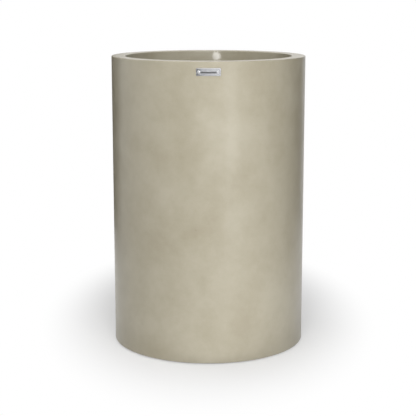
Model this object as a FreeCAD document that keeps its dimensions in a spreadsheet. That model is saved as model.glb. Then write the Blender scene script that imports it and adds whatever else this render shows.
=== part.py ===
import FreeCAD, Part

import math
import os
import re

import Sketcher
from FreeCAD import Placement, Rotation, Vector

# A tall round planter, hand laid in glass fibre. Millimetres, +Z up, the origin on the ground
# under the middle of the planter, and the maker's plate facing -Y.
#
# On the bench it comes apart into an open wall tube, a rim ring with a return lip, a base pan
# with a push-up floor, the coved beads of bonding putty that hold the three together, a bare
# metal plate on two blind rivets, three rubber drain plugs and four stick-on rubber pads.

doc = FreeCAD.newDocument("planter")

# ---------------------------------------------------------------- driving dimensions

SIZES = {
    # the whole planter
    "outer_diameter": "500",
    "shell_height": "750",
    "wall_thickness": "5",
    "foot_edge_round": "4",
    # rim ring
    "rim_width": "35",
    "rim_thickness": "5",
    "rim_edge_round": "2",
    "lip_depth": "60",
    "lip_thickness": "5",
    "lip_edge_round": "2.5",
    "lip_end_bevel": "1",
    "rim_cove": "12",
    # base pan
    "foot_land_width": "36",
    "floor_recess": "10",
    "base_thickness": "5",
    "step_run": "3",
    "step_round": "2",
    "base_cove": "25",
    "bead_feather": "0.5",
    "bond_gap": "0.3",
    # drain holes and their plugs
    "drain_count": "3",
    "drain_circle": "220",
    "drain_diameter": "20",
    "plug_clearance": "0.3",
    "plug_flange_diameter": "32",
    "plug_flange_thickness": "3",
    "plug_flange_bevel": "0.8",
    "plug_body_length": "12",
    "plug_body_taper": "1.5",
    "plug_neck_diameter": "8",
    "plug_neck_height": "4",
    "plug_knob_diameter": "14",
    "plug_knob_height": "6",
    "plug_knob_bevel": "1.5",
    # rubber pads under the foot land
    "pad_count": "4",
    "pad_diameter": "28",
    "pad_thickness": "3",
    "pad_edge_bevel": "0.8",
    # maker's plate
    "plate_width": "60",
    "plate_height": "18.5",
    "plate_thickness": "1.2",
    "plate_drop": "25",
    "plate_corner": "1.2",
    "plate_bevel": "0.5",
    "plate_gap": "0.1",
    # blind rivets, their broken-off stems and the washers behind the wall
    "rivet_spacing": "46",
    "rivet_head_diameter": "6.5",
    "rivet_head_height": "1.4",
    "rivet_head_edge": "0.4",
    "rivet_shank_diameter": "3.2",
    "rivet_hole_clearance": "0.1",
    "rivet_tail_diameter": "5",
    "rivet_tail_length": "4",
    "stem_diameter": "1.8",
    "stem_recess": "0.5",
    "stem_ball_diameter": "2.8",
    "stem_ball_length": "1.6",
    "stem_fit": "0.02",
    "washer_diameter": "9",
    "washer_thickness": "1",
}

sheet = doc.addObject("Spreadsheet::Sheet", "Sizes")
for row, (size_name, size_text) in enumerate(SIZES.items(), start=1):
    sheet.set(f"A{row}", size_name)
    sheet.set(f"B{row}", size_text)
    sheet.setAlias(f"B{row}", size_name)
doc.recompute()

# ---------------------------------------------------------------- places worked out from them

OUTER = "outer_diameter / 2"
INNER = "(outer_diameter / 2 - wall_thickness)"
MOUTH = "(outer_diameter / 2 - rim_width)"
FOOT = "pad_thickness"
TOP = "(pad_thickness + shell_height)"
SEAM = "(pad_thickness + shell_height - rim_thickness)"
LIP_END = "(pad_thickness + shell_height - lip_depth)"
PLATE_MIDDLE = "(pad_thickness + shell_height - plate_drop)"
LAND_TOP = "(pad_thickness + base_thickness)"
RECESS_TOP = "(pad_thickness + floor_recess)"
FLOOR = "(pad_thickness + floor_recess + base_thickness)"
PAN_EDGE = "(outer_diameter / 2 - wall_thickness - bond_gap)"
LAND_INNER = "(outer_diameter / 2 - wall_thickness - foot_land_width)"
STEP_TOP = "(outer_diameter / 2 - wall_thickness - foot_land_width - step_run)"
PLATE_BACK = "(outer_diameter / 2 + plate_gap)"
PLATE_FACE = "(outer_diameter / 2 + plate_gap + plate_thickness)"
PLATE_TURN = f"2 * asin(plate_width / 2 / {PLATE_FACE})"
RIVET_TURN = f"asin(rivet_spacing / 2 / {PLATE_FACE})"
RIVET_HOLE = "(rivet_shank_diameter / 2 + rivet_hole_clearance)"
WASHER_FACE = f"sqrt({INNER} ^ 2 - (washer_diameter / 2) ^ 2)"
WASHER_BACK = f"({WASHER_FACE} - washer_thickness)"
RIVET_TAIL = f"({WASHER_BACK} - rivet_tail_length)"
RIVET_TOP = f"({PLATE_FACE} + rivet_head_height)"
DOME_RISE = "(rivet_head_height - rivet_head_edge)"
DOME_TOP = "(rivet_head_height ^ 2 + (rivet_shank_diameter / 2) ^ 2)"
DOME_EDGE = "(rivet_head_edge ^ 2 + (rivet_head_diameter / 2) ^ 2)"
DOME_MIDDLE = f"({PLATE_FACE} + ({DOME_TOP} - {DOME_EDGE}) / (2 * {DOME_RISE}))"
PAD_MIDDLE = "(outer_diameter / 2 - wall_thickness - foot_land_width / 2)"


def bound(expression):
    """The expression as the document reads it, with the sheet named before each size."""
    return re.sub(r"[a-z_]+", lambda word: "Sizes." + word[0] if word[0] in SIZES else word[0], expression)


def number(expression):
    """What the expression comes to now."""
    value = sheet.evalExpression(bound(expression))
    return float(getattr(value, "Value", value))


# ---------------------------------------------------------------- sketching helpers


def new_body(label):
    """An empty body for one sub-part, under the name of its node."""
    body = doc.addObject("PartDesign::Body", label)
    body.Label = label
    return body


def origin_feature(body, role):
    """One of the body's own origin planes or axes, such as XZ_Plane or Z_Axis."""
    return next(feature for feature in body.Origin.OriginFeatures if feature.Role == role)


def new_sketch(body, plane, name):
    """An empty sketch lying on one of the body's planes."""
    sketch = body.newObject("Sketcher::SketchObject", name)
    sketch.AttachmentSupport = [(plane, "")]
    sketch.MapMode = "FlatFace"
    return sketch


def tie_point(sketch, edge, end, across, up):
    """Binds one end of a sketch edge to the sheet, or to an axis where the distance is nothing."""
    for kind, axis, expression in (("DistanceX", -2, across), ("DistanceY", -1, up)):
        if expression == "0":
            sketch.addConstraint(Sketcher.Constraint("PointOnObject", edge, end, axis))
            continue
        rule = Sketcher.Constraint(kind, -1, 1, edge, end, number(expression))
        index = sketch.addConstraint(rule)
        sketch.setExpression(f"Constraints[{index}]", bound(expression))


def outline(sketch, corners):
    """Draws a closed outline through corners given as (across, up), two expressions each.

    A third entry, (across, up) again, is the centre of a round stretch to the next corner.
    """
    spots = [Vector(number(corner[0]), number(corner[1]), 0) for corner in corners]
    first_edge = sketch.GeometryCount
    ends = []
    for index, corner in enumerate(corners):
        start, finish = spots[index], spots[(index + 1) % len(spots)]
        if len(corner) == 2:
            sketch.addGeometry(Part.LineSegment(start, finish), False)
            ends.append((1, 2))
            continue
        centre = Vector(number(corner[2][0]), number(corner[2][1]), 0)
        turns_left = (start - centre).cross(finish - centre).z > 0
        low, high = (start, finish) if turns_left else (finish, start)
        angles = [math.atan2(spot.y - centre.y, spot.x - centre.x) for spot in (low, high)]
        circle = Part.Circle(centre, Vector(0, 0, 1), (start - centre).Length)
        sketch.addGeometry(Part.ArcOfCircle(circle, *angles), False)
        ends.append((1, 2) if turns_left else (2, 1))
    for index, corner in enumerate(corners):
        edge, following = first_edge + index, (index + 1) % len(corners)
        join = (edge, ends[index][1], first_edge + following, ends[following][0])
        sketch.addConstraint(Sketcher.Constraint("Coincident", *join))
        tie_point(sketch, edge, ends[index][0], corner[0], corner[1])
        if len(corner) == 3:
            rule = Sketcher.Constraint("DistanceX", -1, 1, edge, 3, number(corner[2][0]))
            place = sketch.addConstraint(rule)
            sketch.setExpression(f"Constraints[{place}]", bound(corner[2][0]))


def add_circle(sketch, across, up, radius):
    """Draws a circle bound to the sheet."""
    spot = Vector(number(across), number(up), 0)
    edge = sketch.addGeometry(Part.Circle(spot, Vector(0, 0, 1), number(radius)), False)
    tie_point(sketch, edge, 3, across, up)
    index = sketch.addConstraint(Sketcher.Constraint("Radius", edge, number(radius)))
    sketch.setExpression(f"Constraints[{index}]", bound(radius))


# ---------------------------------------------------------------- solid helpers

NEAR = 1e-4


def revolve(body, corners, name, plane=None, axis_height=None, cut=False):
    """Turns an outline a full circle about the planter's axis, or about a level line of the sketch."""
    sketch = new_sketch(body, plane or origin_feature(body, "XZ_Plane"), name + "_outline")
    outline(sketch, corners)
    axis = "V_Axis"
    if axis_height:
        height = number(axis_height)
        line = Part.LineSegment(Vector(0, height, 0), Vector(number(OUTER), height, 0))
        centre_line = sketch.addGeometry(line, True)
        tie_point(sketch, centre_line, 1, "0", axis_height)
        tie_point(sketch, centre_line, 2, OUTER, axis_height)
        axis = "Axis0"
    turn = body.newObject("PartDesign::Groove" if cut else "PartDesign::Revolution", name)
    turn.Profile = sketch
    turn.ReferenceAxis = (sketch, [axis])
    turn.Angle = 360
    return turn


def ring_edges(feature, radius, height):
    """The names of the level round edges of that radius at that height."""
    found = []
    for index, edge in enumerate(feature.Shape.Edges, start=1):
        if not isinstance(edge.Curve, Part.Circle):
            continue
        same_radius = abs(edge.Curve.Radius - number(radius)) < NEAR
        if same_radius and abs(edge.Curve.Center.z - number(height)) < NEAR:
            found.append(f"Edge{index}")
    return found


def edges_through(feature, thickness):
    """The names of the straight edges that run through a plate of that thickness."""
    found = []
    for index, edge in enumerate(feature.Shape.Edges, start=1):
        if isinstance(edge.Curve, Part.Line) and abs(edge.Length - number(thickness)) < NEAR:
            found.append(f"Edge{index}")
    return found


def outermost_face(feature):
    """The name of the feature's face that lies furthest out from the planter's axis."""
    middles = [face.CenterOfMass for face in feature.Shape.Faces]
    reach = [math.hypot(middle.x, middle.y) for middle in middles]
    return f"Face{reach.index(max(reach)) + 1}"


def round_edges(body, feature, rings, radius, name):
    """Rounds the level edges at the given radii and heights by one size of the sheet."""
    doc.recompute()
    edges = [edge for ring in rings for edge in ring_edges(feature, *ring)]
    fillet = body.newObject("PartDesign::Fillet", name)
    fillet.Base = (feature, edges)
    fillet.setExpression("Radius", bound(radius))
    doc.recompute()
    return fillet


def repeat_around(body, feature, count, name):
    """Repeats a feature evenly about the planter's axis."""
    pattern = body.newObject("PartDesign::PolarPattern", name)
    pattern.Originals = [feature]
    pattern.Axis = (origin_feature(body, "Z_Axis"), [""])
    pattern.Angle = 360
    pattern.setExpression("Occurrences", bound(count))
    body.Tip = pattern


def mirror_across(body, feature, name):
    """Copies a feature from one side of the plate's middle to the other."""
    mirror = body.newObject("PartDesign::Mirrored", name)
    mirror.Originals = [feature]
    mirror.MirrorPlane = (origin_feature(body, "YZ_Plane"), [""])
    body.Tip = mirror


def rivet_plane(body):
    """An upright plane through the planter's axis and the right-hand rivet."""
    plane = body.newObject("PartDesign::Plane", body.Label + "_rivet_plane")
    plane.AttachmentSupport = [(origin_feature(body, "YZ_Plane"), "")]
    plane.MapMode = "FlatFace"
    plane.AttachmentOffset = Placement(Vector(), Rotation(Vector(0, 1, 0), number(RIVET_TURN)))
    plane.setExpression("AttachmentOffset.Rotation.Angle", bound(RIVET_TURN))
    doc.recompute()
    return plane


def beside_rivet(out, off):
    """A place on the rivet's plane as the sketch counts it: across and up."""
    return f"-({out})", PLATE_MIDDLE if off == "0" else f"{PLATE_MIDDLE} + {off}"


def around_rivet(body, corners, name, cut=False):
    """Turns an outline about the rivet's line, on both sides of the plate's middle.

    Corners are (out, off): how far out from the planter's axis, and how far off the rivet's line.
    A third entry, (out, off) again, is the centre of a round stretch to the next corner.
    """
    placed = []
    for corner in corners:
        spot = beside_rivet(*corner[:2])
        placed.append(spot if len(corner) == 2 else (*spot, beside_rivet(*corner[2])))
    turn = revolve(body, placed, name, rivet_plane(body), PLATE_MIDDLE, cut)
    mirror_across(body, turn, name + "_pair")


def drill_rivet_holes(body, start, finish):
    """Drills both rivet holes through a body, from one distance off the planter's axis to another."""
    drill = [(start, "0"), (finish, "0"), (finish, RIVET_HOLE), (start, RIVET_HOLE)]
    solid = body.Shape.Volume
    around_rivet(body, drill, "rivet_hole", cut=True)
    doc.recompute()
    if body.Shape.Volume > solid - 1:
        raise RuntimeError("the rivet holes cut nothing out of " + body.Label)


# ---------------------------------------------------------------- glass-fibre mouldings


def make_wall_tube():
    """The open tube that is the planter's side, with its bottom edge rounded off outside."""
    body = new_body("wall_tube")
    section = [(INNER, FOOT), (OUTER, FOOT), (OUTER, SEAM), (INNER, SEAM)]
    tube = revolve(body, section, "tube")
    round_edges(body, tube, [(OUTER, FOOT)], "foot_edge_round", "foot_round")
    drill_rivet_holes(body, f"({INNER} - wall_thickness)", f"({OUTER} + wall_thickness)")


def make_rim_ring():
    """The flat rim with the return lip that hangs inside the mouth."""
    body = new_body("rim_ring")
    lip_back = f"({MOUTH} + lip_thickness)"
    bevel_top = f"({LIP_END} + lip_end_bevel)"
    section = [
        (MOUTH, bevel_top),
        (f"({MOUTH} + lip_end_bevel)", LIP_END),
        (f"({lip_back} - lip_end_bevel)", LIP_END),
        (lip_back, bevel_top),
        (lip_back, SEAM),
        (OUTER, SEAM),
        (OUTER, TOP),
        (MOUTH, TOP),
    ]
    ring = revolve(body, section, "ring")
    outer = round_edges(body, ring, [(OUTER, TOP)], "rim_edge_round", "rim_round")
    round_edges(body, outer, [(MOUTH, TOP)], "lip_edge_round", "lip_round")


def make_base_pan():
    """The base: a flat land to stand on, and a floor pushed up clear of the ground."""
    body = new_body("base_pan")
    section = [
        ("0", RECESS_TOP),
        (f"{STEP_TOP} - base_thickness", RECESS_TOP),
        (f"{LAND_INNER} - base_thickness", FOOT),
        (PAN_EDGE, FOOT),
        (PAN_EDGE, LAND_TOP),
        (LAND_INNER, LAND_TOP),
        (STEP_TOP, FLOOR),
        ("0", FLOOR),
    ]
    pan = revolve(body, section, "pan")
    rings = [
        (f"{STEP_TOP} - base_thickness", RECESS_TOP),
        (f"{LAND_INNER} - base_thickness", FOOT),
    ]
    rounded = round_edges(body, pan, rings, "step_round", "step_rounds")
    drill = new_sketch(body, origin_feature(body, "XY_Plane"), "drain_outline")
    add_circle(drill, "0", "drain_circle / 2", "drain_diameter / 2")
    drain = body.newObject("PartDesign::Pocket", "drain_hole")
    drain.Profile = drill
    drain.Type = "ThroughAll"
    drain.Reversed = True
    doc.recompute()
    if drain.Shape.Volume > rounded.Shape.Volume - 1:
        raise RuntimeError("the drain hole cut nothing")
    repeat_around(body, drain, "drain_count", "drain_holes")


# ---------------------------------------------------------------- bonding putty


def make_rim_bead():
    """The coved bead of putty in the corner under the rim, feathered out at both ends."""
    body = new_body("rim_bond_bead")
    edge, under = f"({INNER} - bead_feather)", f"({SEAM} - bead_feather)"
    cove_middle = (f"{edge} - rim_cove", f"{under} - rim_cove")
    section = [
        (cove_middle[0], SEAM),
        (cove_middle[0], under, cove_middle),
        (edge, cove_middle[1]),
        (INNER, cove_middle[1]),
        (INNER, SEAM),
    ]
    revolve(body, section, "rim_bead")


def make_base_bead():
    """The bead that fills the gutter round the push-up floor and coves up the wall."""
    body = new_body("base_bond_bead")
    edge = f"({INNER} - bead_feather)"
    cove_middle = (f"{edge} - base_cove", f"{FLOOR} + base_cove")
    section = [
        (LAND_INNER, LAND_TOP),
        (INNER, LAND_TOP),
        (INNER, cove_middle[1]),
        (edge, cove_middle[1], cove_middle),
        (cove_middle[0], FLOOR),
        (STEP_TOP, FLOOR),
    ]
    revolve(body, section, "base_bead")


# ---------------------------------------------------------------- maker's plate and its rivets


def make_name_plate():
    """The bare metal plate, bent to the wall, its corners rounded and its face bevelled."""
    body = new_body("name_plate")
    low, high = f"({PLATE_MIDDLE} - plate_height / 2)", f"({PLATE_MIDDLE} + plate_height / 2)"
    section = [
        (f"-{PLATE_FACE}", low),
        (f"-{PLATE_BACK}", low),
        (f"-{PLATE_BACK}", high),
        (f"-{PLATE_FACE}", high),
    ]
    strip = revolve(body, section, "strip", origin_feature(body, "YZ_Plane"))
    strip.Midplane = True
    strip.setExpression("Angle", bound(PLATE_TURN))
    doc.recompute()
    rounded = body.newObject("PartDesign::Fillet", "plate_corners")
    rounded.Base = (strip, edges_through(strip, "plate_thickness"))
    rounded.setExpression("Radius", bound("plate_corner"))
    doc.recompute()
    bevel = body.newObject("PartDesign::Chamfer", "plate_bevel")
    bevel.Base = (rounded, [outermost_face(rounded)])
    bevel.setExpression("Size", bound("plate_bevel"))
    doc.recompute()
    drill_rivet_holes(body, INNER, f"({PLATE_FACE} + plate_thickness)")


def make_rivets():
    """Two blind rivets: a low dome on the plate, a sleeve through the wall and a spread tail."""
    body = new_body("plate_rivets")
    body.AllowCompound = True
    bore = "(stem_diameter / 2 + stem_fit)"
    shank = "rivet_shank_diameter / 2"
    tail = "rivet_tail_diameter / 2"
    head = "rivet_head_diameter / 2"
    section = [
        (RIVET_TAIL, bore),
        (RIVET_TAIL, tail),
        (WASHER_BACK, tail),
        (WASHER_BACK, shank),
        (PLATE_FACE, shank),
        (PLATE_FACE, head),
        (f"({PLATE_FACE} + rivet_head_edge)", head, (DOME_MIDDLE, "0")),
        (RIVET_TOP, shank),
        (RIVET_TOP, bore),
    ]
    around_rivet(body, section, "rivet")


def make_rivet_stems():
    """What is left of the steel pins that set the rivets: a broken end, and the ball at the tail."""
    body = new_body("rivet_stems")
    body.AllowCompound = True
    inner_end, broken_end = f"({RIVET_TAIL} - stem_ball_length)", f"({RIVET_TOP} - stem_recess)"
    section = [
        (inner_end, "0"),
        (inner_end, "stem_diameter / 2"),
        (RIVET_TAIL, "stem_ball_diameter / 2"),
        (RIVET_TAIL, "stem_diameter / 2"),
        (broken_end, "stem_diameter / 2"),
        (broken_end, "0"),
    ]
    around_rivet(body, section, "stem")


def make_rivet_washers():
    """A washer behind the wall at each rivet, its rim touching the hollow of the wall."""
    body = new_body("rivet_washers")
    body.AllowCompound = True
    section = [
        (WASHER_BACK, RIVET_HOLE),
        (WASHER_BACK, "washer_diameter / 2"),
        (WASHER_FACE, "washer_diameter / 2"),
        (WASHER_FACE, RIVET_HOLE),
    ]
    around_rivet(body, section, "washer")


# ---------------------------------------------------------------- rubber parts


def place_around(body, radius, angle, height):
    """Puts a body on a circle about the planter's axis, tied to the sheet."""
    places = {
        "x": f"{radius} * cos({angle})",
        "y": f"{radius} * sin({angle})",
        "z": height,
    }
    for axis, place in places.items():
        body.setExpression(f"Placement.Base.{axis}", bound(place))


def make_drain_plug(index):
    """A plug that is pushed down into a drain hole, with a knob on its flange to pull it by."""
    body = new_body(f"drain_plug_{index + 1}")
    fit = "(drain_diameter / 2 - plug_clearance)"
    flange = "plug_flange_diameter / 2"
    neck = "plug_neck_diameter / 2"
    knob = "plug_knob_diameter / 2"
    neck_top = "(plug_flange_thickness + plug_neck_height)"
    knob_top = "(plug_flange_thickness + plug_neck_height + plug_knob_height)"
    section = [
        ("0", "-plug_body_length"),
        (f"({fit} - plug_body_taper)", "-plug_body_length"),
        (fit, "0"),
        (flange, "0"),
        (flange, "(plug_flange_thickness - plug_flange_bevel)"),
        (f"({flange} - plug_flange_bevel)", "plug_flange_thickness"),
        (neck, "plug_flange_thickness"),
        (neck, neck_top),
        (f"({knob} - plug_knob_bevel)", neck_top),
        (knob, f"({neck_top} + plug_knob_bevel)"),
        (knob, f"({knob_top} - plug_knob_bevel)"),
        (f"({knob} - plug_knob_bevel)", knob_top),
        ("0", knob_top),
    ]
    revolve(body, section, "plug")
    place_around(body, "drain_circle / 2", f"90 + 360 / drain_count * {index}", FLOOR)


def make_foot_pad(index):
    """A round stick-on pad under the foot land, its edge bevelled where it meets the ground."""
    body = new_body(f"foot_pad_{index + 1}")
    section = [
        ("0", "0"),
        ("(pad_diameter / 2 - pad_edge_bevel)", "0"),
        ("pad_diameter / 2", "pad_edge_bevel"),
        ("pad_diameter / 2", "pad_thickness"),
        ("0", "pad_thickness"),
    ]
    revolve(body, section, "pad")
    place_around(body, PAD_MIDDLE, f"360 / pad_count * ({index} + 0.5)", "0")


# ---------------------------------------------------------------- the whole planter

make_wall_tube()
make_rim_ring()
make_base_pan()
make_rim_bead()
make_base_bead()
make_name_plate()
make_rivets()
make_rivet_stems()
make_rivet_washers()
for index in range(round(number("drain_count"))):
    make_drain_plug(index)
for index in range(round(number("pad_count"))):
    make_foot_pad(index)
doc.recompute()

failed = [item.Label for item in doc.Objects if {"Invalid", "Error"} & set(item.State)]
if failed:
    raise RuntimeError("these did not build: " + ", ".join(failed))
bodies = doc.findObjects("PartDesign::Body")
for body in bodies:
    if body.Shape.isNull() or not body.Shape.isValid():
        raise RuntimeError(body.Label + " has no sound shape")

os.makedirs("parts", exist_ok=True)
for body in bodies:
    body.Shape.exportStep(f"parts/{body.Label}.step")
    print(f"{body.Label}: {len(body.Shape.Solids)} solid, {body.Shape.Volume / 1000:.1f} cm3")
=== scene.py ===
# %% [markdown]
# # A tall round planter in glass-fibre
#
# This lesson dresses a planter whose construction is already fixed. The frame gives every piece at
# its real size and place; here each piece gets the mesh and the finish that the eye needs. The
# frame is loaded first, so that every size below can be read from it instead of being guessed.

# %% Load the packed model
import math

import bmesh
import bpy
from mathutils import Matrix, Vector, noise


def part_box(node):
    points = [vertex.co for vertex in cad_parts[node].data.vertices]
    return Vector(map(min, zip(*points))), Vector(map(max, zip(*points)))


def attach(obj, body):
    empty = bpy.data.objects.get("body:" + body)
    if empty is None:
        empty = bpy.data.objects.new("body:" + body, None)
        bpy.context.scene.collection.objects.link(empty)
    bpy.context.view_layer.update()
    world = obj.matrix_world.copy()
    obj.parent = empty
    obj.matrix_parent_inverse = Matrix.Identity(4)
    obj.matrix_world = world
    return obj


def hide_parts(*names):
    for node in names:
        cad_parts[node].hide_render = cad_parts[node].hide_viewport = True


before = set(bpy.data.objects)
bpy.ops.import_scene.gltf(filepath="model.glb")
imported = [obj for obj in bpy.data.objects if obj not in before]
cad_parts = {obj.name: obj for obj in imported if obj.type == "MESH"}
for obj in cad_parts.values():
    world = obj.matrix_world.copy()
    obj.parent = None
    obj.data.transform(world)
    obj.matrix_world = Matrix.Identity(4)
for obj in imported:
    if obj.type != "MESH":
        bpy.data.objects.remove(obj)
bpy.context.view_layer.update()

MM = 0.001
print("nodes in the frame:", sorted(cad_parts))

# The planter is round and stands on the origin, so a box is enough to know a radius and two
# heights. Sizes that no box can tell, such as the width of the flat rim, are written here once, in
# real units.

# %% Sizes of the planter
wall_low, wall_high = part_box("wall_tube")
rim_low, rim_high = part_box("rim_ring")
pan_low, pan_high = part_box("base_pan")
plate_low, plate_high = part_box("name_plate")

OUTER = wall_high.x
FOOT = wall_low.z
SEAM = wall_high.z
TOP = rim_high.z
LIP_END = rim_low.z
FLOOR = pan_high.z
PLATE_MIDDLE = (plate_low.z + plate_high.z) / 2

WALL = 5 * MM
RIM_WIDTH = 35 * MM
EDGE_ROUND = 2 * MM
LIP_ROUND = 2.5 * MM
LIP_END_ROUND = 1 * MM

INNER = OUTER - WALL
MOUTH = OUTER - RIM_WIDTH
LIP_BACK = MOUTH + WALL
print(f"outer radius {OUTER:.4f} m, mouth radius {MOUTH:.4f} m, top at {TOP:.4f} m")

# %% [markdown]
# ## The camera
#
# The outline of a round object tells where the camera stood: the curve of the rim and the curve of
# the foot open by different amounts, and the sides lean together towards the bottom. Solving those
# together gives a long lens about three metres away, a little above the rim and tipped down. A
# camera is placed before anything is modelled, so that each piece can be judged in the right view.

# %% Place the camera
CAMERA_AWAY = 3.010
CAMERA_ASIDE = -0.00115
CAMERA_UP = 0.932
CAMERA_TIP = math.radians(10.93)
SENSOR = 36.0
LENS = 100.08

camera = bpy.data.objects.new("studio_camera", bpy.data.cameras.new("studio_camera"))
camera.data.lens = LENS
camera.data.sensor_width = SENSOR
camera.location = (CAMERA_ASIDE, -CAMERA_AWAY, CAMERA_UP)
camera.rotation_euler = (math.pi / 2 - CAMERA_TIP, 0, 0)
bpy.context.scene.collection.objects.link(camera)
bpy.context.scene.camera = camera
bpy.context.scene.view_settings.view_transform = "Standard"
print("camera at", tuple(round(part, 3) for part in camera.location))

# %% [markdown]
# ## Writing shader maths as Python
#
# A material is a graph of nodes, and a graph of twenty Math nodes is hard to read. This small class
# holds one output of a node and overloads Python's operators, so that `0.4 + 0.1 * cloud` adds its
# own Math nodes. A Math node would turn a colour grey, so colours are mixed by `between`, and
# vectors are `stretched` or `moved`. Every other node comes from the one method `node`.

# %% A wire that can be used in sums
class Wire:
    """One output of a shader node. Adding or multiplying wires adds the Math nodes for it."""

    def __init__(self, tree, socket=None):
        self.tree = tree
        self.socket = socket

    def node(self, kind, settings=None, sockets=None, output=0):
        """Adds a node: its settings come first, then the values or links of its sockets."""
        made = self.tree.nodes.new(kind)
        for name, value in (settings or {}).items():
            setattr(made, name, value)
        for name, value in (sockets or {}).items():
            if isinstance(value, Wire):
                self.tree.links.new(value.socket, made.inputs[name])
            else:
                made.inputs[name].default_value = value
        return Wire(self.tree, made.outputs[output] if made.outputs else None)

    def maths(self, operation, first, second=0.0):
        """One Math node of that operation, fed with two wires or numbers."""
        return self.node("ShaderNodeMath", {"operation": operation}, {0: first, 1: second})

    def __add__(self, other):
        return self.maths("ADD", self, other)

    def __sub__(self, other):
        return self.maths("SUBTRACT", self, other)

    def __rsub__(self, other):
        return self.maths("SUBTRACT", other, self)

    def __mul__(self, other):
        return self.maths("MULTIPLY", self, other)

    __radd__ = __add__
    __rmul__ = __mul__

    def between(self, low, high):
        """A colour that runs from low to high as this wire runs from 0 to 1."""
        settings = {"data_type": "RGBA", "clamp_factor": True}
        return self.node("ShaderNodeMix", settings, {0: self, 6: low, 7: high}, output=2)

    def ramp(self, start, end):
        """0 below start, 1 above end, and a smooth slope between."""
        settings = {"interpolation_type": "SMOOTHSTEP", "clamp": True}
        sockets = {"Value": self, "From Min": start, "From Max": end}
        return self.node("ShaderNodeMapRange", settings, sockets)

    def stretched(self, x, y, z):
        """This vector, multiplied by three numbers."""
        settings = {"operation": "MULTIPLY"}
        return self.node("ShaderNodeVectorMath", settings, {0: self, 1: (x, y, z)})

    def moved(self, x, y, z):
        """This vector, with three numbers added."""
        return self.node("ShaderNodeVectorMath", {"operation": "ADD"}, {0: self, 1: (x, y, z)})

    def bumped(self):
        """The normal of a surface whose height in metres is this wire."""
        return self.node("ShaderNodeBump", {}, {"Height": self, "Distance": 1.0, "Strength": 1.0})

    def cloud(self, size, detail=3.0, roughness=0.5):
        """Soft noise, from 0 to 1, whose patches are about that size in metres."""
        sockets = {"Vector": self, "Scale": 1 / size, "Detail": detail, "Roughness": roughness}
        return self.node("ShaderNodeTexNoise", {}, sockets)


print("a wire can be", [name for name in vars(Wire) if not name.startswith("__")])

# %% [markdown]
# ## The studio air
#
# The planter was photographed on white. A real studio lights its sweep until it is white, and that
# much light would wash out the planter. So the air shows white to the camera and in reflections,
# but lights the planter only a little, which is how a large pale room fills in the shadows.

# %% The air
AMBIENT = 0.20
WHITE = (1.0, 1.0, 1.0, 1.0)


def seen_directly(start):
    """1 for a ray from the camera or one sent on by a reflection or glass, 0 for bounced light."""
    camera_ray = start.node("ShaderNodeLightPath", output="Is Camera Ray")
    glossy_ray = start.node("ShaderNodeLightPath", output="Is Glossy Ray")
    glass_ray = start.node("ShaderNodeLightPath", output="Is Transmission Ray")
    return start.maths("MINIMUM", camera_ray + glossy_ray + glass_ray, 1.0)


def paint_air():
    """A world that shows white but lights the scene only as strongly as AMBIENT."""
    world = bpy.data.worlds.new("studio_air")
    world.use_nodes = True
    world.node_tree.nodes.clear()
    start = Wire(world.node_tree)
    bounced = start.node("ShaderNodeBackground", {}, {"Color": WHITE, "Strength": AMBIENT})
    shown = start.node("ShaderNodeBackground", {}, {"Color": WHITE, "Strength": 1.0})
    mixed = start.node("ShaderNodeMixShader", {}, {0: seen_directly(start), 1: bounced, 2: shown})
    start.node("ShaderNodeOutputWorld", {}, {"Surface": mixed})
    return world


bpy.context.scene.world = paint_air()
print("air lights the planter at", AMBIENT)

# %% [markdown]
# ## The studio floor
#
# A photographer's sweep is a sheet of pale paper. For bounced light this floor is just that. Only
# the camera, or a reflection, sees it fade to white away from the planter. Close in, two thirds of
# what shows is the true floor, with its shadow. The fade runs over an oval that reaches furthest
# behind the planter, because the front lamp throws the shadow there.

# %% The floor
FLOOR_REACH = 8.0
FLOOR_PALE = (0.86, 0.86, 0.86, 1.0)
FADE_MIDDLE = (0.0, 0.25, 0)
FADE_REACH = (0.44, 0.80, 1)  # half the oval's width and depth, in metres
FADE_START = 0.52  # where the fade starts and ends, as shares of the oval
FADE_END = 1.10
FADE_LEAST = 0.34  # the share of white close to the planter


def new_material(name):
    """An empty material, and a wire that carries the place in the frame, in metres."""
    material = bpy.data.materials.new(name)
    material.use_nodes = True
    material.node_tree.nodes.clear()
    return material, Wire(material.node_tree).node("ShaderNodeTexCoord", output="Object")


def finish_material(material, surface):
    """Ends the graph at the material's output."""
    Wire(material.node_tree).node("ShaderNodeOutputMaterial", {}, {"Surface": surface})
    return material


def solid_surface(material, place, sockets):
    """Ends the graph with the one shader that suits every solid piece here."""
    return finish_material(material, place.node("ShaderNodeBsdfPrincipled", {}, sockets))


def paint_floor():
    """Pale paper that fades to pure white, for the camera and reflections, past the oval."""
    material, place = new_material("studio_floor")
    sockets = {"Vector": place, "Location": FADE_MIDDLE, "Scale": FADE_REACH}
    oval = place.node("ShaderNodeMapping", {"vector_type": "TEXTURE"}, sockets)
    away = place.node("ShaderNodeVectorMath", {"operation": "LENGTH"}, {0: oval}, "Value")
    fade = FADE_LEAST + (1 - FADE_LEAST) * away.ramp(FADE_START, FADE_END)
    pale = place.node("ShaderNodeBsdfDiffuse", {}, {"Color": FLOOR_PALE})
    white = place.node("ShaderNodeEmission", {}, {"Color": WHITE, "Strength": 1.0})
    mixed = place.node("ShaderNodeMixShader", {}, {0: fade * seen_directly(place), 1: pale, 2: white})
    return finish_material(material, mixed)


def lay_floor():
    """One large square on the ground. It is staging, not a piece of the planter."""
    shape = bmesh.new()
    corners = [(-1, -1), (1, -1), (1, 1), (-1, 1)]
    shape.faces.new([shape.verts.new((x * FLOOR_REACH, y * FLOOR_REACH, 0)) for x, y in corners])
    mesh = bpy.data.meshes.new("studio_floor")
    shape.to_mesh(mesh)
    shape.free()
    floor = bpy.data.objects.new("studio_floor", mesh)
    mesh.materials.append(paint_floor())
    bpy.context.scene.collection.objects.link(floor)


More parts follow.
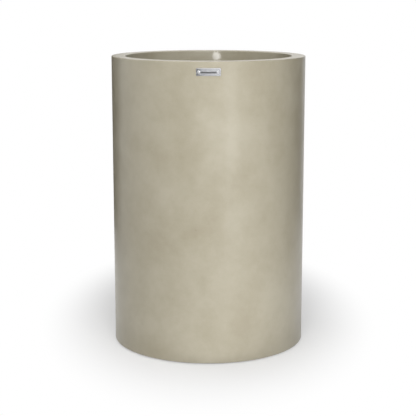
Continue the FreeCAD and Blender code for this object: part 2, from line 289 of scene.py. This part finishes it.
lay_floor()
print("floor fades to white in an oval of", FADE_REACH[:2], "m about", FADE_MIDDLE[:2])

# %% [markdown]
# ## Lamps
#
# Large soft boxes suit a satin surface: their edges melt into the shading. Each lamp is given by
# the direction it shines from, as a photographer would say it: how far round from the camera, and
# how high. Their strengths could be guessed one by one. They were first found together instead,
# from a render of each lamp alone, as the sum that shades the wall like the photo, and were then
# nudged until the tones along the wall agreed better.

# %% Hang the lamps
LAMPS = [
    # name, degrees round, degrees up, metres away, width, height, watts, height of its aim
    ("front_box", 0, 25, 3.2, 1.6, 1.6, 60, 0.45),
    ("strip_box", 24, 8, 2.6, 0.35, 1.6, 9.5, 0.45),
    ("left_box", -120, 40, 3.0, 1.2, 1.5, 12, 0.30),
    ("top_box", 0, 80, 2.4, 1.6, 1.6, 13.5, 0.45),
    ("back_box", 180, 50, 3.0, 1.6, 1.6, 8, 0.45),
]


def direction(around, above):
    """The way to a thing that many degrees round to the right of the camera, and above."""
    turn, climb = math.radians(around), math.radians(above)
    return Vector((math.sin(turn) * math.cos(climb), -math.cos(turn) * math.cos(climb), math.sin(climb)))


def hang(name, lamp, place, target):
    """Hangs a lamp at a place, facing its target. The camera doesn't see it."""
    holder = bpy.data.objects.new(name, lamp)
    holder.location = place
    holder.rotation_euler = (target - place).to_track_quat("-Z", "Y").to_euler()
    holder.visible_camera = False
    bpy.context.scene.collection.objects.link(holder)
    return holder


def soft_box(name, width, height, watts):
    """A flat lamp that shines evenly from its whole face."""
    lamp = bpy.data.lights.new(name, "AREA")
    lamp.shape = "RECTANGLE"
    lamp.size = width
    lamp.size_y = height
    lamp.energy = watts
    return lamp


for name, around, above, away, width, height, watts, aim in LAMPS:
    target = Vector((0, 0, aim))
    hang(name, soft_box(name, width, height, watts), target + direction(around, above) * away, target)

# %% [markdown]
# ## Strips on the floor
#
# The camera looks down, so a standing wall mirrors the floor, not the soft boxes. A photographer
# lays a light or a bright board in front of such a thing. Here a long strip on the floor keeps the
# highlight bright to the foot, and a weak short one lifts the last few centimetres.

# %% Lay the strips
LYING = 12 * MM
STRIPS = [
    # name, degrees round, where it starts and ends from the axis, width, watts
    ("floor_strip", 24, 0.4, 3.0, 0.35, 2.5),
    ("foot_strip", 6, 0.262, 0.40, 0.60, 0.09),
]
for name, around, near, far, width, watts in STRIPS:
    spot = direction(around, 0) * (near + far) / 2 + Vector((0, 0, LYING))
    strip = hang(name, soft_box(name, width, far - near, watts), spot, spot + Vector((0, 0, 1)))
    strip.rotation_euler = (math.pi, 0, math.radians(around))
    print(name, "lies from", near, "to", far, "m")

# %% [markdown]
# ## The bright patch in the lip
#
# Inside the back of the lip the photo has one small white patch, most likely the mirror image of a
# lamp. A soft box would spread it over the whole lip, so it is made by a spot with a beam of one
# degree, high enough to clear the front of the rim. It only shows in reflections.

# %% Aim the spot
PATCH = Vector((0.022, 0.2130, 0.738))
SPOT_AROUND = -14
SPOT_ABOVE = 5
SPOT_AWAY = 1.5

beam = bpy.data.lights.new("lip_spot", "SPOT")
beam.energy = 105
beam.spot_size = math.radians(1.0)
beam.spot_blend = 0.6
beam.shadow_soft_size = 4 * MM
lip_spot = hang("lip_spot", beam, PATCH + SPOT_AWAY * direction(SPOT_AROUND, SPOT_ABOVE), PATCH)
lip_spot.visible_diffuse = False
print("the spot is at", tuple(round(part, 3) for part in lip_spot.location))

# %% [markdown]
# ## Dark cards
#
# A pale round thing on a white ground needs something dark to mirror, or its edges melt away. Two
# tall black cards stand out of sight, one behind to the left and one to the right. A low third one,
# in front and to the left, darkens what the left end of the plate mirrors, as in the photo.

# %% Stand the cards
CARD_BLACK = (0.02, 0.02, 0.02, 1.0)
CARDS = [
    # name, degrees round, metres away, half its width, height
    ("card_left", -143, 1.4, 0.6, 1.75),
    ("card_right", 104, 1.4, 1.0, 1.75),
    ("card_front", -25, 2.0, 0.55, 0.95),
]


def stand_card(name, around, away, half, height):
    """A dull black card that faces the planter. The camera doesn't see it, but reflections do."""
    turn = math.radians(around)
    foot = direction(around, 0) * away
    side = Vector((math.cos(turn), math.sin(turn), 0)) * half
    up = Vector((0, 0, height))
    shape = bmesh.new()
    spots = (foot - side, foot + side, foot + side + up, foot - side + up)
    shape.faces.new([shape.verts.new(spot) for spot in spots])
    mesh = bpy.data.meshes.new(name)
    shape.to_mesh(mesh)
    shape.free()
    material, place = new_material(name)
    dull = place.node("ShaderNodeBsdfDiffuse", {}, {"Color": CARD_BLACK})
    mesh.materials.append(finish_material(material, dull))
    card = bpy.data.objects.new(name, mesh)
    card.visible_camera = False
    bpy.context.scene.collection.objects.link(card)


for card in CARDS:
    stand_card(*card)
print("cards:", [card[0] for card in CARDS])

# %% [markdown]
# ## Turning an outline
#
# Nearly every piece here is round about an upright line, so one helper turns half a section into a
# mesh. It could be a curve with a Screw modifier, but then the rows of faces fall where the curve
# wants them. Here the rows are placed one by one: true arcs at the rounded corners, a holding row
# close to each end of a long flat run so that smooth shading stays flat there, and a division
# about every centimetre so that the long wall can take its slight waviness.

# %% Rounded outlines
AROUND = 256
SMALL_AROUND = 64
ARC_ROWS = 8
HOLD = 0.4 * MM
LONGEST_ROW = 12 * MM


def rounded(corners):
    """Corners are (radius, height) or (radius, height, round). The rounded ones become arcs."""
    points = []
    for index, corner in enumerate(corners):
        here = Vector(corner[:2])
        if len(corner) == 2:
            points.append(here)
            continue
        before = (Vector(corners[index - 1][:2]) - here).normalized()
        after = (Vector(corners[(index + 1) % len(corners)][:2]) - here).normalized()
        half = before.angle(after) / 2
        centre = here + (before + after).normalized() * corner[2] / math.sin(half)
        first = here + before * corner[2] / math.tan(half) - centre
        last = here + after * corner[2] / math.tan(half) - centre
        swing = first.angle_signed(last)
        for row in range(ARC_ROWS + 1):
            turn = math.atan2(first.y, first.x) - swing * row / ARC_ROWS
            points.append(centre + corner[2] * Vector((math.cos(turn), math.sin(turn))))
    return points


def with_rows(points, closed):
    """Divides the long straight runs, with a holding row close to each of their ends."""
    ends = points[1:] + points[:1] if closed else points[1:]
    rows = []
    for here, there in zip(points, ends):
        length = (there - here).length
        rows.append(here)
        if length < 6 * HOLD:
            continue
        count = max(1, math.ceil(length / LONGEST_ROW))
        spots = [HOLD] + [length * step / count for step in range(1, count)] + [length - HOLD]
        rows += [here.lerp(there, spot / length) for spot in spots]
    return rows if closed else rows + [points[-1]]


sample = rounded([(0.0, 0.0), (0.1, 0.0, 0.01), (0.1, 0.1), (0.0, 0.1)])
print("an outline with one rounded corner has", len(sample), "points")

# %% [markdown]
# ## From an outline to a mesh
#
# Each point of the outline becomes a ring of points, and neighbouring rings are joined by faces. A
# point on the axis stays a single point, which closes the middle of a disc. Corners sharper than
# 35 degrees stay crisp, and the rest shades smooth. The last helper here puts a finished mesh in
# the scene: it says which body the piece rides on and which nodes of the frame it stands for.

# %% Turn the outline
AXIS_CLOSE = 1e-6
SHARP = math.radians(35)


def turned(name, corners, centre=(0, 0, 0), around=AROUND):
    """Turns an outline about an upright line through centre. It may start and end on that line."""
    open_ended = corners[0][0] < AXIS_CLOSE
    rows = with_rows(rounded(corners), closed=not open_ended)
    shape = bmesh.new()
    rings = []
    for row in rows:
        spots = 1 if row.x < AXIS_CLOSE else around
        turns = [math.tau * spot / around for spot in range(spots)]
        places = [Vector((row.x * math.cos(turn), row.x * math.sin(turn), row.y)) for turn in turns]
        rings.append([shape.verts.new(place + Vector(centre)) for place in places])
    pairs = list(zip(rings, rings[1:])) + ([] if open_ended else [(rings[-1], rings[0])])
    for low, high in pairs:
        for spot in range(around):
            along = (spot + 1) % around
            loop = [low[spot % len(low)], low[along % len(low)]]
            loop += [high[along % len(high)], high[spot % len(high)]]
            shape.faces.new(dict.fromkeys(loop))
    bmesh.ops.recalc_face_normals(shape, faces=shape.faces)
    return to_mesh(name, shape)


def to_mesh(name, shape):
    """Ends a bmesh as a mesh that shades smooth, except at its sharp corners."""
    for face in shape.faces:
        face.smooth = True
    mesh = bpy.data.meshes.new(name)
    shape.to_mesh(mesh)
    shape.free()
    mesh.set_sharp_from_angle(angle=SHARP)
    return mesh


def shifted(mesh, shift):
    """Moves each point of a mesh by what shift gives for its place."""
    for point in mesh.vertices:
        point.co += shift(point.co)
    mesh.update()
    return mesh


def set_in_place(mesh, body, slot, material, *nodes):
    """Makes the mesh a piece that rides on a body and stands for the nodes it replaces."""
    piece = bpy.data.objects.new(mesh.name, mesh)
    bpy.context.scene.collection.objects.link(piece)
    mesh.materials.append(material)
    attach(piece, body)
    if nodes:
        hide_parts(*nodes)
    print(f"{piece.name}: {len(mesh.polygons)} faces")
    return piece


print("turning with", AROUND, "faces around")

# %% [markdown]
# ## Satin gelcoat
#
# The outside is gelcoat, a pigmented resin that is sprayed on the mould before the glass. It comes
# out satin and very slightly uneven: soft clouds of tone a hand or a finger wide, a fine grain, and
# a surface that is nowhere quite flat, which makes a long highlight wander as it runs down. The
# clouds could be painted, but noise placed by real metres keeps them the right size on every piece
# and lets them run across the seam between the rim and the wall without a break. The two widest
# clouds are moved aside in the endless noise, to a stretch of it that looks like this planter.

# %% Gelcoat
GELCOAT_DARK = (0.374, 0.336, 0.246, 1.0)
GELCOAT_LIGHT = (0.448, 0.413, 0.320, 1.0)
BROAD_ASIDE = (15.7, 13.9, 16.9)
NARROW_ASIDE = (19.3, -1.2, 13.3)


def satin_gelcoat():
    """Clouds of tone in four sizes, with a bump that follows the same clouds."""
    material, place = new_material("satin_gelcoat")
    broad = place.moved(*BROAD_ASIDE).cloud(0.15, 3.0, 0.55)
    narrow = place.moved(*NARROW_ASIDE).cloud(0.07, 2.0, 0.5)
    patch = place.cloud(0.022, 3.0, 0.6)
    grain = place.cloud(0.0022, 2.0, 0.6)
    tone = 0.5 + 2.1 * (broad - 0.5) + 1.2 * (narrow - 0.5) + 0.8 * (patch - 0.5) + 0.5 * (grain - 0.5)
    height = 0.003 * broad + 0.0010 * narrow + 0.0002 * patch + 0.00006 * grain
    sockets = {
        "Base Color": tone.between(GELCOAT_DARK, GELCOAT_LIGHT),
        "Roughness": 0.33 + 0.20 * (patch - 0.5),
        "Normal": height.bumped(),
        "Specular IOR Level": 0.5,
    }
    return solid_surface(material, place, sockets)


gelcoat = satin_gelcoat()
print("gelcoat has", len(gelcoat.node_tree.nodes), "nodes")

# %% [markdown]
# ## Bare laminate
#
# Inside, nothing hides the glass. Chopped strands a few centimetres long lie in every direction
# under a coat of brushed resin. Each layer of strands here is a noise stretched nearly forty
# times along one direction, and three layers are laid across each other.

# %% Laminate
LAMINATE_RESIN = (0.300, 0.270, 0.195, 1.0)
LAMINATE_GLASS = (0.440, 0.410, 0.325, 1.0)
STRAND_LENGTH = 0.050
STRAND_WIDTH = 0.0013


def strands(skin, turn):
    """One layer of strands across the skin, all lying about one way."""
    sockets = {"Vector": skin, "Angle": turn}
    turned_skin = skin.node("ShaderNodeVectorRotate", {"rotation_type": "Z_AXIS"}, sockets)
    across = turned_skin.stretched(STRAND_WIDTH / STRAND_LENGTH, 1, 1)
    return across.cloud(STRAND_WIDTH, 1.0, 0.5).ramp(0.50, 0.62)


def bare_laminate():
    """Three layers of strands under resin that pools in soft patches."""
    material, place = new_material("bare_laminate")
    skin = place.node("ShaderNodeUVMap", {"uv_map": "skin"})
    mat = strands(skin, 0.35) + strands(skin, 1.42) + strands(skin, 2.45)
    pool = place.cloud(0.045, 3.0, 0.5)
    tone = 0.30 * mat + 0.9 * (pool - 0.5)
    height = 0.00018 * mat + 0.0016 * pool
    sockets = {
        "Base Color": tone.between(LAMINATE_RESIN, LAMINATE_GLASS),
        "Roughness": 0.46 + 0.25 * (pool - 0.5),
        "Normal": height.bumped(),
    }
    return solid_surface(material, place, sockets)


laminate = bare_laminate()
print("laminate has", len(laminate.node_tree.nodes), "nodes")

# %% [markdown]
# ## Unrolling the skin
#
# The glass mat is a flat sheet that is laid round the inside of the tube, so its strands must run
# round the wall and not through it. Each corner of a mesh is given its place on the unrolled sheet,
# in metres. The same helper lays the sheet flat for the base.

# %% Lay the skin of a mesh
def lay_skin(mesh, flat):
    """Gives each corner of a mesh its place on the skin, in metres: flat, or unrolled from a tube."""
    layer = mesh.uv_layers.new(name="skin")
    for face in mesh.polygons:
        middle = math.atan2(face.center.y, face.center.x)
        for corner in face.loop_indices:
            spot = mesh.vertices[mesh.loops[corner].vertex_index].co
            turn = math.atan2(spot.y, spot.x)
            turn += math.tau * round((middle - turn) / math.tau)
            layer.data[corner].uv = (spot.x, spot.y) if flat else (turn * INNER, spot.z)
    print(mesh.name, "has its skin laid", "flat" if flat else "round the wall")
    return mesh


# %% [markdown]
# ## The wall
#
# The wall is a straight tube, five millimetres thick. It is two pieces, as it is laid up: a gelcoat
# skin that wraps under the foot edge, and the glass laminate behind it. Both are a little wavy in
# the mesh itself, a quarter of a millimetre outside and more inside, where only a brush finished
# it. The waviness only goes inwards, so the outside never passes its true radius. It dies out
# towards the foot and towards the plate, so that the plate still lies on the wall.

# %% Make the wall
SKIN = 0.6 * MM
FOOT_ROUND = 4 * MM
PLATE_CLEAR = 45 * MM
CALM_ABOVE = 80 * MM
CALM_BELOW = 30 * MM
OUTSIDE_WAVE, OUTSIDE_PATCH = 0.25 * MM, 0.13
INSIDE_WAVE, INSIDE_PATCH = 0.9 * MM, 0.05


def wave(size, depth):
    """Gives a shift towards the axis by up to depth, in patches of about that size."""
    def shift(place):
        level = Vector((place.x, place.y, 0))
        from_plate = (SEAM - PLATE_CLEAR - place.z) / CALM_ABOVE
        from_foot = (place.z - FOOT) / CALM_BELOW
        share = min(1, max(0, from_plate), max(0, from_foot))
        amount = depth * share * (0.5 + 0.5 * noise.noise(place / size))
        return -amount * level.normalized()
    return shift


def only_where(test, shift):
    """The same shift, but nothing where the test fails."""
    return lambda place: shift(place) if test(place) else Vector()


def is_outside(place):
    """True on the outer face of the wall."""
    return math.hypot(place.x, place.y) > OUTER - SKIN / 2


def is_inside(place):
    """True on the inner face of the wall."""
    return math.hypot(place.x, place.y) < INNER + SKIN


skin_section = [
    (OUTER, SEAM),
    (OUTER, FOOT, FOOT_ROUND),
    (INNER, FOOT),
    (INNER, FOOT + SKIN),
    (OUTER - SKIN, FOOT + SKIN, FOOT_ROUND - SKIN),
    (OUTER - SKIN, SEAM),
]
wall_skin = turned("wall_skin", skin_section)
shifted(wall_skin, only_where(is_outside, wave(OUTSIDE_PATCH, OUTSIDE_WAVE)))
set_in_place(wall_skin, "planter", "satin_gelcoat", gelcoat, "wall_tube")

backing_section = [
    (INNER, FOOT + SKIN),
    (OUTER - SKIN, FOOT + SKIN, FOOT_ROUND - SKIN),
    (OUTER - SKIN, SEAM),
    (INNER, SEAM),
]
wall_backing = turned("wall_backing", backing_section)
shifted(wall_backing, only_where(is_inside, wave(INSIDE_PATCH, INSIDE_WAVE)))
lay_skin(wall_backing, flat=False)
set_in_place(wall_backing, "planter", "base_laminate", laminate, "wall_tube")

# %% [markdown]
# ## The rim
#
# The rim is a flat ring whose inner edge turns down into a lip, which makes a five-millimetre wall
# look thirty-five millimetres thick. It is moulded on its own and bonded on. Its outer top edge is
# rounded by two millimetres and the mouth by a little more, enough for a thin line of light.

# %% Make the rim
rim_section = [
    (MOUTH, LIP_END, LIP_END_ROUND),
    (LIP_BACK, LIP_END, LIP_END_ROUND),
    (LIP_BACK, SEAM),
    (OUTER, SEAM),
    (OUTER, TOP, EDGE_ROUND),
    (MOUTH, TOP, LIP_ROUND),
]
set_in_place(turned("rim", rim_section), "planter", "satin_gelcoat", gelcoat, "rim_ring")

# %% [markdown]
# ## Bonding putty
#
# Where two mouldings meet, a bead of putty is pulled along the corner with a round spatula. It is
# hollow in section, thin at both edges, and never quite even along its length.

# %% Putty
PUTTY_DARK = (0.33, 0.31, 0.26, 1.0)
PUTTY_LIGHT = (0.47, 0.45, 0.39, 1.0)


def bonding_putty():
    """Putty dragged along by the spatula, with a fine crumb."""
    material, place = new_material("bonding_putty")
    drag = place.stretched(1, 1, 4).cloud(0.03, 4.0, 0.6)
    crumb = place.cloud(0.002, 3.0, 0.6)
    tone = 0.5 + 1.2 * (drag - 0.5) + 0.6 * (crumb - 0.5)
    height = 0.0012 * drag + 0.00012 * crumb
    sockets = {
        "Base Color": tone.between(PUTTY_DARK, PUTTY_LIGHT),
        "Roughness": 0.66 + 0.2 * (crumb - 0.5),
        "Normal": height.bumped(),
    }
    return solid_surface(material, place, sockets)


putty = bonding_putty()
print("putty has", len(putty.node_tree.nodes), "nodes")

# %% [markdown]
# ## The two beads
#
# One bead lies under the rim, in the corner behind the lip. The other fills the gutter between the
# wall and the raised floor, and is pulled up the wall in a wide curve. Both could be smooth turned
# rings; each point of their hollow face is moved in by up to 0.4 mm, as a spatula leaves it.

# %% Make the beads
LUMP = 0.4 * MM
LUMP_SIZE = 0.020
FEATHER = 0.5 * MM
RIM_COVE = 12 * MM
BASE_COVE = 25 * MM
LAND_TOP = 8 * MM
LAND_WIDTH = 36 * MM
STEP_RUN = 3 * MM
COVE_EDGE = 2 * MM
LAND_INNER = INNER - LAND_WIDTH
STEP_TOP = LAND_INNER - STEP_RUN

rim_bead_section = [
    (INNER - FEATHER - RIM_COVE, SEAM),
    (INNER - FEATHER - RIM_COVE, SEAM - FEATHER),
    (INNER - FEATHER, SEAM - FEATHER, RIM_COVE),
    (INNER - FEATHER, SEAM - FEATHER - RIM_COVE),
    (INNER, SEAM - FEATHER - RIM_COVE),
    (INNER, SEAM),
]
base_bead_section = [
    (LAND_INNER, LAND_TOP),
    (INNER, LAND_TOP),
    (INNER, FLOOR + BASE_COVE),
    (INNER - FEATHER, FLOOR + BASE_COVE),
    (INNER - FEATHER, FLOOR, BASE_COVE),
    (STEP_TOP, FLOOR),
]


def lump(place):
    """A slight bulge of the bead, never outwards past the wall it lies against."""
    depth = LUMP * (0.5 + 0.5 * noise.noise(place / LUMP_SIZE))
    return -depth * Vector((place.x, place.y, 0)).normalized()


def in_cove(place):
    """True on the hollow face of a bead, away from its thin edges."""
    return math.hypot(place.x, place.y) < INNER - FEATHER - COVE_EDGE and place.z > FLOOR + FEATHER


rim_bead = shifted(turned("rim_bead", rim_bead_section), only_where(in_cove, lump))
base_bead = shifted(turned("base_bead", base_bead_section), only_where(in_cove, lump))
set_in_place(rim_bead, "planter", "bonding_putty", putty, "rim_bond_bead")
set_in_place(base_bead, "planter", "bonding_putty", putty, "base_bond_bead")

# %% [markdown]
# ## The base
#
# The base is a shallow pan, pushed up in the middle so that the planter stands on its outer ring
# and drains. Its three drain holes are cut with a Boolean, as a maker drills them after moulding.

# %% Make the base
RECESS = 13 * MM
STEP_ROUND = 2 * MM
BASE = 5 * MM
PAN_EDGE = pan_high.x
DRAIN_CIRCLE = 110 * MM
DRAIN = 10 * MM
DRILL_REACH = 50 * MM
DRAIN_TURNS = [math.radians(90 + 120 * index) for index in range(3)]
DRAINS = [DRAIN_CIRCLE * Vector((math.cos(turn), math.sin(turn), 0)) for turn in DRAIN_TURNS]

pan_section = [
    (0, RECESS),
    (STEP_TOP - BASE, RECESS, STEP_ROUND),
    (LAND_INNER - BASE, FOOT, STEP_ROUND),
    (PAN_EDGE, FOOT),
    (PAN_EDGE, LAND_TOP),
    (LAND_INNER, LAND_TOP),
    (STEP_TOP, FLOOR),
    (0, FLOOR),
]


def drilled(mesh, centres, radius):
    """The mesh with an upright hole through it at each centre."""
    block = bpy.data.objects.new("block", mesh)
    bpy.context.scene.collection.objects.link(block)
    drills = []
    for centre in centres:
        low, high = centre.z - DRILL_REACH, centre.z + DRILL_REACH
        section = [(0, low), (radius, low), (radius, high), (0, high)]
        bit = turned("drill", section, (centre.x, centre.y, 0), SMALL_AROUND)
        drill = bpy.data.objects.new("drill", bit)
        bpy.context.scene.collection.objects.link(drill)
        cut = block.modifiers.new("cut", "BOOLEAN")
        cut.operation, cut.solver, cut.object = "DIFFERENCE", "EXACT", drill
        drills.append(drill)
    bpy.context.view_layer.update()
    graph = bpy.context.evaluated_depsgraph_get()
    shape = bmesh.new()
    shape.from_mesh(block.evaluated_get(graph).to_mesh())
    for spent in drills + [block]:
        bpy.data.objects.remove(spent)
    return to_mesh(mesh.name + "_drilled", shape)


base = lay_skin(drilled(turned("base", pan_section), DRAINS, DRAIN), flat=True)
set_in_place(base, "planter", "base_laminate", laminate, "base_pan")

# %% [markdown]
# ## Rubber
#
# The plugs and the pads under the foot are moulded rubber: nearly black, dull, with the fine
# texture of the mould and a little dust.

# %% Rubber
RUBBER_BLACK = (0.020, 0.020, 0.021, 1.0)
RUBBER_DUSTY = (0.060, 0.058, 0.054, 1.0)


def moulded_rubber():
    """Black rubber with patches of dust and the grain of its mould."""
    material, place = new_material("moulded_rubber")
    dust = place.cloud(0.006, 4.0, 0.6)
    grain = place.cloud(0.0006, 2.0, 0.5)
    height = 0.00005 * grain + 0.0001 * dust
    sockets = {
        "Base Color": dust.ramp(0.35, 0.75).between(RUBBER_BLACK, RUBBER_DUSTY),
        "Roughness": 0.58 + 0.3 * (dust - 0.5),
        "Normal": height.bumped(),
    }
    return solid_surface(material, place, sockets)


rubber = moulded_rubber()
print("rubber has", len(rubber.node_tree.nodes), "nodes")

# %% [markdown]
# ## Plugs and pads
#
# A drain plug is one rubber moulding: a tapered body that fills the hole, a flange that seals on
# the floor, and a knob on a short neck to pull it by. A pad is a disc with a soft lower edge. Both
# are turned outlines. Each plug rides on its own body, because it pulls out on its own.

# %% Make the plugs and pads
PLUG_DEPTH = 12 * MM
PLUG_TIP = 8.2 * MM
PLUG_SEAT = 9.7 * MM
FLANGE = 16 * MM
FLANGE_TOP = 3 * MM
NECK = 4 * MM
KNOB = 7 * MM
KNOB_LOW = 7 * MM
KNOB_HIGH = 13 * MM
KNOB_ROUND = 2 * MM
PAD = 14 * MM
PAD_COUNT = 4

plug_section = [
    (0, -PLUG_DEPTH),
    (PLUG_TIP, -PLUG_DEPTH, 0.8 * MM),
    (PLUG_SEAT, 0),
    (FLANGE, 0),
    (FLANGE, FLANGE_TOP, 1 * MM),
    (NECK, FLANGE_TOP, 1.2 * MM),
    (NECK, KNOB_LOW, 0.8 * MM),
    (KNOB, KNOB_LOW, KNOB_ROUND),
    (KNOB, KNOB_HIGH, KNOB_ROUND),
    (0, KNOB_HIGH),
]
for index, centre in enumerate(DRAINS, start=1):
    plug = turned(f"plug_{index}", plug_section, (centre.x, centre.y, FLOOR), SMALL_AROUND)
    set_in_place(plug, f"plug_{index}", "plug_rubber", rubber, f"drain_plug_{index}")

pad_section = [(0, 0), (PAD, 0, 0.8 * MM), (PAD, FOOT), (0, FOOT)]
for index in range(1, PAD_COUNT + 1):
    low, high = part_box(f"foot_pad_{index}")
    centre = ((low.x + high.x) / 2, (low.y + high.y) / 2, 0)
    pad = turned(f"pad_{index}", pad_section, centre, SMALL_AROUND)
    set_in_place(pad, "planter", "pad_rubber", rubber, f"foot_pad_{index}")

# %% [markdown]
# ## The plate and its rivets
#
# The frame's own plate, rivets, stems and washers are already the right shape, so they keep their
# meshes and only get better metal. The plate is brushed along its length: the brushing is a noise
# stretched along x until it is nothing but fine lines.

# %% Brushed plate
PLATE_METAL = (0.45, 0.454, 0.466, 1.0)
PLATE_WORN = (0.33, 0.334, 0.345, 1.0)


def brushed_plate():
    """Metal brushed along x, with a slight smear over the brushing."""
    material, place = new_material("brushed_plate")
    lines = place.stretched(0.02, 1, 1).cloud(0.0004, 3.0, 0.6)
    smear = place.cloud(0.012, 3.0, 0.5)
    height = 0.00001 * lines + 0.00006 * smear
    sockets = {
        "Base Color": (0.5 * lines + 0.5 * smear).between(PLATE_WORN, PLATE_METAL),
        "Metallic": 1.0,
        "Roughness": 0.24 + 0.2 * (lines - 0.5) + 0.1 * (smear - 0.5),
        "Normal": height.bumped(),
    }
    return solid_surface(material, place, sockets)


plate_metal = brushed_plate()
print("plate metal has", len(plate_metal.node_tree.nodes), "nodes")

# %% [markdown]
# ## Rivets, stems and washers
#
# A blind rivet is soft pale aluminium. The steel stem that set it is darker, and shows as a dot in
# the middle of each head. The washers behind the wall are plain bright metal. All three are one
# recipe with other colours, so one function makes them.

# %% Plain metals
RIVET_DULL, RIVET_BRIGHT = (0.48, 0.48, 0.49, 1), (0.62, 0.62, 0.63, 1)
STEM_DULL, STEM_BRIGHT = (0.25, 0.24, 0.23, 1), (0.38, 0.37, 0.36, 1)
WASHER_DULL, WASHER_BRIGHT = (0.50, 0.50, 0.50, 1), (0.64, 0.64, 0.63, 1)


def plain_metal(name, dull, bright, roughness):
    """Pressed or drawn metal, with small dents and a slightly patchy shine."""
    material, place = new_material(name)
    patch = place.cloud(0.0025, 3.0, 0.6)
    height = 0.00012 * patch
    sockets = {
        "Base Color": patch.ramp(0.3, 0.7).between(dull, bright),
        "Metallic": 1.0,
        "Roughness": roughness + 0.15 * (patch - 0.5),
        "Normal": height.bumped(),
    }
    return solid_surface(material, place, sockets)


def repaint(node, material):
    """Gives a node of the frame a better material. Its mesh and place stay as they are."""
    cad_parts[node].material_slots[0].material = material
    print(node, "is now", material.name)


repaint("name_plate", plate_metal)
repaint("plate_rivets", plain_metal("rivet_metal", RIVET_DULL, RIVET_BRIGHT, 0.27))
repaint("rivet_stems", plain_metal("stem_metal", STEM_DULL, STEM_BRIGHT, 0.38))
repaint("rivet_washers", plain_metal("washer_metal", WASHER_DULL, WASHER_BRIGHT, 0.33))

# %% [markdown]
# ## The dark bar
#
# Between the rivets the plate carries a dark inlay. It is left as a plain enamelled bar, with no
# lettering: a thin strip with half-round ends, bent to the plate's own curve.

# %% Enamel
ENAMEL_DARK = (0.040, 0.040, 0.042, 1.0)
ENAMEL_WORN = (0.085, 0.085, 0.086, 1.0)


def enamel():
    """Dark enamel, rubbed paler in small patches."""
    material, place = new_material("dark_enamel")
    wear = place.cloud(0.003, 4.0, 0.6)
    height = 0.00004 * wear
    sockets = {
        "Base Color": wear.ramp(0.35, 0.7).between(ENAMEL_DARK, ENAMEL_WORN),
        "Roughness": 0.42 + 0.3 * (wear - 0.5),
        "Normal": height.bumped(),
    }
    return solid_surface(material, place, sockets)


dark_enamel = enamel()
print("enamel has", len(dark_enamel.node_tree.nodes), "nodes")

# %% [markdown]
# ## Bending the bar
#
# A flat bar laid on a curved plate would float at its ends, or be hidden in the middle. So the bar
# is made of upright columns of four points, and each column is turned to its place on the curve.
# Towards the ends the columns stand closer together and grow shorter, which rounds the ends.

# %% Bend the bar
BAR_HALF = 19.3 * MM
BAR_HIGH = 3.6 * MM
BAR_DROP = 1.2 * MM
BAR_PROUD = 0.15 * MM
BAR_SUNK = 0.2 * MM
BAR_LEAST = 0.08 * MM
END_STEPS = 6
HALF_STEPS = 12
PLATE_FACE = -plate_low.y


def bar_spots(half, bow):
    """How far aside each column stands: evenly along the bar, and along an arc at its ends."""
    swing = math.radians(90) / END_STEPS
    ends = [half - bow + bow * math.sin(swing * step) for step in range(1, END_STEPS)] + [half]
    straight = [(half - bow) * step / HALF_STEPS for step in range(-HALF_STEPS, HALF_STEPS + 1)]
    return [-aside for aside in reversed(ends)] + straight + ends


def bent_bar(name, half, high, drop, back, front):
    """A strip with half-round ends, bent about the planter's axis in front."""
    bow = high / 2
    shape = bmesh.new()
    columns = []
    for aside in bar_spots(half, bow):
        past = max(0, abs(aside) - (half - bow))
        rise = max(BAR_LEAST, math.sqrt(bow * bow - past * past))
        turn = aside / PLATE_FACE
        column = []
        for radius, up in ((back, -rise), (front, -rise), (front, rise), (back, rise)):
            level = (radius * math.sin(turn), -radius * math.cos(turn))
            column.append(shape.verts.new((*level, PLATE_MIDDLE - drop + up)))
        columns.append(column)
    for here, there in zip(columns, columns[1:]):
        for row in range(4):
            along = (row + 1) % 4
            shape.faces.new((here[row], here[along], there[along], there[row]))
    shape.faces.new(columns[0])
    shape.faces.new(columns[-1])
    bmesh.ops.recalc_face_normals(shape, faces=shape.faces)
    return to_mesh(name, shape)


bar = bent_bar("plate_bar", BAR_HALF, BAR_HIGH, BAR_DROP, PLATE_FACE - BAR_SUNK, PLATE_FACE + BAR_PROUD)
set_in_place(bar, "planter", "plate_metal", dark_enamel)

# %% [markdown]
# The dressed planter may not be larger than the frame.
